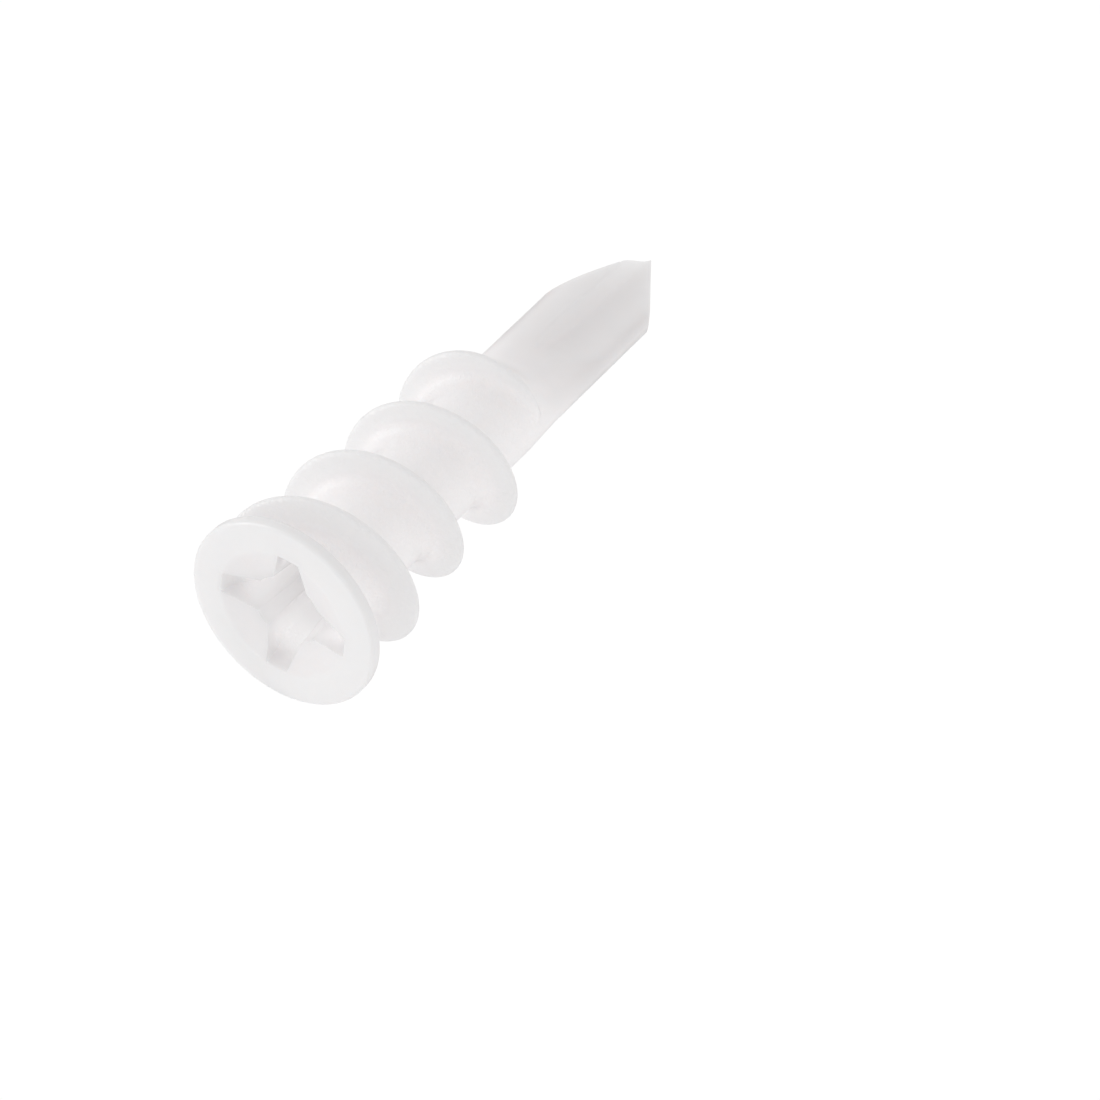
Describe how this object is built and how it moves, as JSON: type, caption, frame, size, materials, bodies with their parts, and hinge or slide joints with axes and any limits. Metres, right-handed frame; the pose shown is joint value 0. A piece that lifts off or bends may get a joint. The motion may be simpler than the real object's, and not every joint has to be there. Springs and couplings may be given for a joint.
{
  "type": "wall anchor",
  "caption": "Self-drilling nylon wall anchor: round head flange with a cross drive recess, deep right-hand thread and a slanted drill blade.",
  "frame": {"origin": "centre of the head's flat face, on the anchor's axis; this is the plane of the wall's surface once the anchor is in", "axes": "+Y along the axis from the head to the drill point, into the wall; -Y out of the wall, towards the driver bit; +X along the wide way of the blade and two arms of the recess; +Z across the blade"},
  "size_m": [0.013, 0.0413, 0.013],
  "materials": {
    "nylon": "translucent natural-white nylon, satin with a fine spark-eroded grain on the thread flanks and shank"
  },
  "bodies": {
    "root": {"anchor_body": "nylon"}
  },
  "joints": []
}
